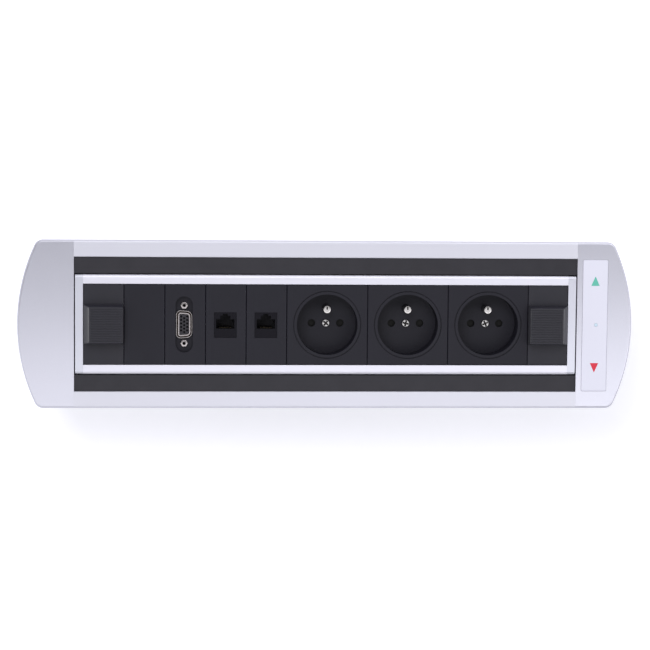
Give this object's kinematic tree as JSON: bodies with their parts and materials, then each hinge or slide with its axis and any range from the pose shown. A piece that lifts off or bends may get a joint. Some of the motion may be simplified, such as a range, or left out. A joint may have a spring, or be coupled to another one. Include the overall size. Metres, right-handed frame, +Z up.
{
  "type": "rotating desk socket",
  "caption": "Motorised turning socket strip in a rounded silver desk frame, with earthed mains sockets, data jacks, a video connector, ribbed end blocks and a touch panel.",
  "frame": {"origin": "centre of the desk cut-out, level with the top of the desk", "axes": "+X along the socket strip towards the touch panel, +Y across it towards the upper long edge in the picture, +Z up out of the desk"},
  "size_m": [0.406, 0.1106, 0.0765],
  "materials": {
    "cap_paint": "satin silver paint",
    "rail_aluminium": "satin anodised",
    "rotor_aluminium": "satin anodised",
    "lip_black": "matte extrusion",
    "module_black": "fine matte grain",
    "end_module_black": "fine matte grain",
    "inner_black": "moulded",
    "shutter_grey": "moulded",
    "zinc_steel": "zinc plated sheet",
    "screw_steel": "zinc plated",
    "nickel": "nickel plated",
    "contact_brass": "bright",
    "bearing_plastic": "smooth",
    "panel_film": "satin film",
    "arrow_green": "printed",
    "arrow_red": "printed",
    "light_lens": "clear lens",
    "board_green": "solder mask",
    "key_plastic": "smooth",
    "motor_steel": "drawn can",
    "grommet_rubber": "matte",
    "wire_sleeve": "matte"
  },
  "bodies": {
    "housing": {"arrow_close": "arrow_red", "arrow_open": "arrow_green", "bearing_bushes": "bearing_plastic", "cable_grommet": "grommet_rubber", "clamp_nuts": "screw_steel", "end_bracket_left": "zinc_steel", "end_bracket_right": "zinc_steel", "end_cap_left": "cap_paint", "end_cap_right": "cap_paint", "frame_rail_bottom": "rail_aluminium", "frame_rail_top": "rail_aluminium", "gap_lip_bottom": "lip_black", "gap_lip_top": "lip_black", "gearbox_housing": "inner_black", "housing_screws": "screw_steel", "housing_trough": "zinc_steel", "inlet_pins": "nickel", "motor_can": "motor_steel", "power_inlet": "inner_black", "status_light": "light_lens", "supply_harness": "wire_sleeve", "terminal_block": "bearing_plastic", "touch_circuit_board": "board_green", "touch_overlay": "panel_film"},
    "rotor": {"rotor_channel": "rotor_aluminium", "rotor_lid": "rotor_aluminium", "rotor_end_left": "rotor_aluminium", "rotor_end_right": "rotor_aluminium", "rotor_gear": "bearing_plastic", "rotor_end_screws": "screw_steel", "rotor_loom": "wire_sleeve", "end_module_left": "end_module_black", "end_module_right": "end_module_black", "end_block_left": "end_module_black", "end_block_right": "end_module_black", "blank_module": "module_black", "video_faceplate": "module_black", "video_shell": "nickel", "video_insulator": "inner_black", "video_jackscrews": "nickel", "data_faceplate_1": "module_black", "data_faceplate_2": "module_black", "data_jack_1": "module_black", "data_jack_2": "module_black", "data_contacts": "contact_brass", "socket_face_1": "module_black", "socket_face_2": "module_black", "socket_face_3": "module_black", "socket_boxes": "inner_black", "earth_pins": "nickel", "socket_screws": "screw_steel", "socket_contacts": "contact_brass"},
    "drive_pinion": {"drive_pinion": "contact_brass"},
    "key_open": {"key_open": "key_plastic"},
    "key_close": {"key_close": "key_plastic"},
    "clamp_bar_top": {"clamp_bar_top": "zinc_steel"},
    "clamp_bar_bottom": {"clamp_bar_bottom": "zinc_steel"},
    "shutter_1": {"shutter_1": "shutter_grey"},
    "shutter_2": {"shutter_2": "shutter_grey"},
    "shutter_3": {"shutter_3": "shutter_grey"}
  },
  "joints": [
    {"name": "rotor_turn", "type": "hinge", "parent": "housing", "child": "rotor", "pos_m": [0, 0, -0.021], "axis": [1, 0, 0], "range_deg": [0, 180]},
    {"name": "pinion_spin", "type": "hinge", "parent": "housing", "child": "drive_pinion", "pos_m": [0.173, 0, -0.042], "axis": [1, 0, 0], "range_deg": [-365, 5]},
    {"name": "key_open_press", "type": "slide", "parent": "housing", "child": "key_open", "axis": [0, 0, -1], "range_m": [0, 0.0003], "stiffness_N_per_m": 600, "springref_m": -0.0002},
    {"name": "key_close_press", "type": "slide", "parent": "housing", "child": "key_close", "axis": [0, 0, -1], "range_m": [0, 0.0003], "stiffness_N_per_m": 600, "springref_m": -0.0002},
    {"name": "clamp_top_slide", "type": "slide", "parent": "housing", "child": "clamp_bar_top", "axis": [0, 0, 1], "range_m": [-0.006, 0.005]},
    {"name": "clamp_bottom_slide", "type": "slide", "parent": "housing", "child": "clamp_bar_bottom", "axis": [0, 0, 1], "range_m": [-0.006, 0.005]},
    {"name": "shutter_1_slide", "type": "slide", "parent": "rotor", "child": "shutter_1", "axis": [0, 1, 0], "range_m": [0, 0.005], "stiffness_N_per_m": 40, "springref_m": -0.003},
    {"name": "shutter_2_slide", "type": "slide", "parent": "rotor", "child": "shutter_2", "axis": [0, 1, 0], "range_m": [0, 0.005], "stiffness_N_per_m": 40, "springref_m": -0.003},
    {"name": "shutter_3_slide", "type": "slide", "parent": "rotor", "child": "shutter_3", "axis": [0, 1, 0], "range_m": [0, 0.005], "stiffness_N_per_m": 40, "springref_m": -0.003}
  ],
  "couplings": [
    {"joint": "pinion_spin", "follows": "rotor_turn", "ratio": -2}
  ]
}
